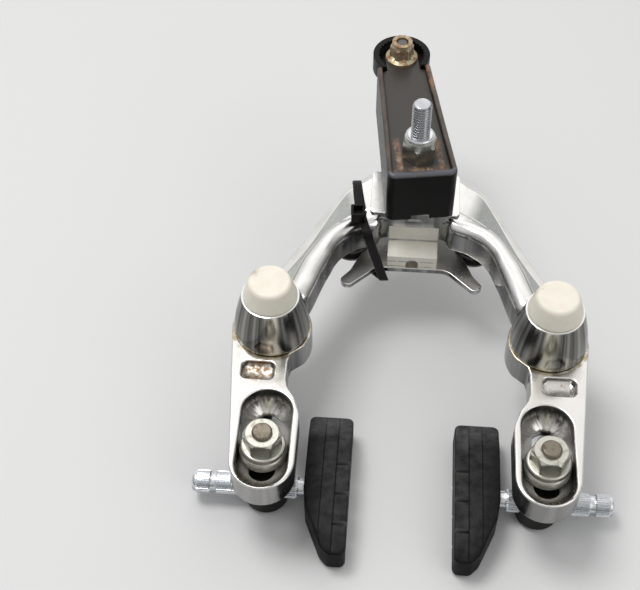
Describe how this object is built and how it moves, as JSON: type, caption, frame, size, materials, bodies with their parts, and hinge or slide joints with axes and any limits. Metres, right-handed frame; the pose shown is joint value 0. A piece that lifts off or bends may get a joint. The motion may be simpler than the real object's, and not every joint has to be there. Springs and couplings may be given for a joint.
{
  "type": "roller cam brake",
  "caption": "Roller cam rim brake: a forged arch with two pivoted arms, rubber pads, and a cam plate that a cable pulls between rollers.",
  "frame": {"origin": "on the mounting stud's axis, at the top face of its nut", "axes": "+Z along the stud and the pivots, out of the nut; +Y from the pads towards the bracket's far end; +X across the rim, to the right seen from above with the pads towards the viewer"},
  "size_m": [0.127, 0.1676, 0.0821],
  "materials": {
    "polished_alloy": "polished",
    "satin_alloy": "satin",
    "bright_zinc": "bright zinc plating",
    "aged_zinc": "dull, yellowed zinc plating",
    "rusty_zinc": "zinc plating worn through to rust",
    "dark_steel": "dark",
    "spring_steel": "oiled",
    "post_zinc": "bluish zinc plating",
    "bronze": "plain",
    "black_paint": "semi-gloss, worn and rusty at the edges",
    "ivory_nylon": "aged, with grime",
    "black_nylon": "satin",
    "rubber": "matte"
  },
  "bodies": {
    "arch_body": {"arch": "polished_alloy", "guide_pad": "ivory_nylon", "mounting_bolt": "bright_zinc", "bracket": "black_paint", "mounting_nut": "aged_zinc", "mounting_nut_ring": "ivory_nylon", "serrated_cup": "black_nylon", "bracket_bolt": "dark_steel", "bracket_nut": "rusty_zinc", "cable_tie": "black_nylon", "pivot_bolt_left": "dark_steel", "pivot_bolt_right": "dark_steel", "pivot_washer_left": "dark_steel", "pivot_washer_right": "dark_steel", "pivot_nut_left": "aged_zinc", "pivot_nut_right": "aged_zinc", "pivot_cap_left": "ivory_nylon", "pivot_cap_right": "ivory_nylon"},
    "cam_body": {"cam_plate": "satin_alloy", "cable_block": "ivory_nylon", "block_rivets": "aged_zinc"},
    "arm_left_body": {"arm_left": "polished_alloy", "arm_bush_left": "bronze", "return_spring_left": "spring_steel", "roller_pin_left": "dark_steel", "eyebolt_left": "aged_zinc", "post_collar_left": "black_nylon", "lower_washer_left": "aged_zinc", "upper_washer_left": "aged_zinc", "eyebolt_nut_left": "aged_zinc", "pad_post_left": "post_zinc", "brake_pad_left": "rubber"},
    "roller_left_body": {"roller_left": "dark_steel"},
    "arm_right_body": {"arm_right": "polished_alloy", "arm_bush_right": "bronze", "return_spring_right": "spring_steel", "roller_pin_right": "dark_steel", "eyebolt_right": "aged_zinc", "post_collar_right": "black_nylon", "lower_washer_right": "aged_zinc", "upper_washer_right": "aged_zinc", "eyebolt_nut_right": "aged_zinc", "pad_post_right": "post_zinc", "brake_pad_right": "rubber"},
    "roller_right_body": {"roller_right": "dark_steel"}
  },
  "joints": [
    {"name": "cam_slide", "type": "slide", "parent": "arch_body", "child": "cam_body", "axis": [0, 1, 0], "range_m": [0, 0.012]},
    {"name": "arm_swing_left", "type": "hinge", "parent": "arch_body", "child": "arm_left_body", "pos_m": [-0.0425, -0.0475, -0.044], "axis": [0, 0, 1], "range_deg": [0, 5.5], "stiffness_Nm_per_rad": 0.5, "springref_deg": -11.46},
    {"name": "arm_swing_right", "type": "hinge", "parent": "arch_body", "child": "arm_right_body", "pos_m": [0.0425, -0.0475, -0.044], "axis": [0, 0, 1], "range_deg": [-5.5, 0], "stiffness_Nm_per_rad": 0.5, "springref_deg": 11.46},
    {"name": "roller_spin_left", "type": "hinge", "parent": "arm_left_body", "child": "roller_left_body", "pos_m": [-0.0202, -0.0055, -0.046], "axis": [0, 0, 1], "continuous": true},
    {"name": "roller_spin_right", "type": "hinge", "parent": "arm_right_body", "child": "roller_right_body", "pos_m": [0.0202, -0.0055, -0.046], "axis": [0, 0, 1], "continuous": true}
  ],
  "couplings": [
    {"joint": "arm_swing_left", "follows": "cam_slide", "rad_per_m": 7.855},
    {"joint": "arm_swing_right", "follows": "cam_slide", "rad_per_m": -7.855}
  ]
}
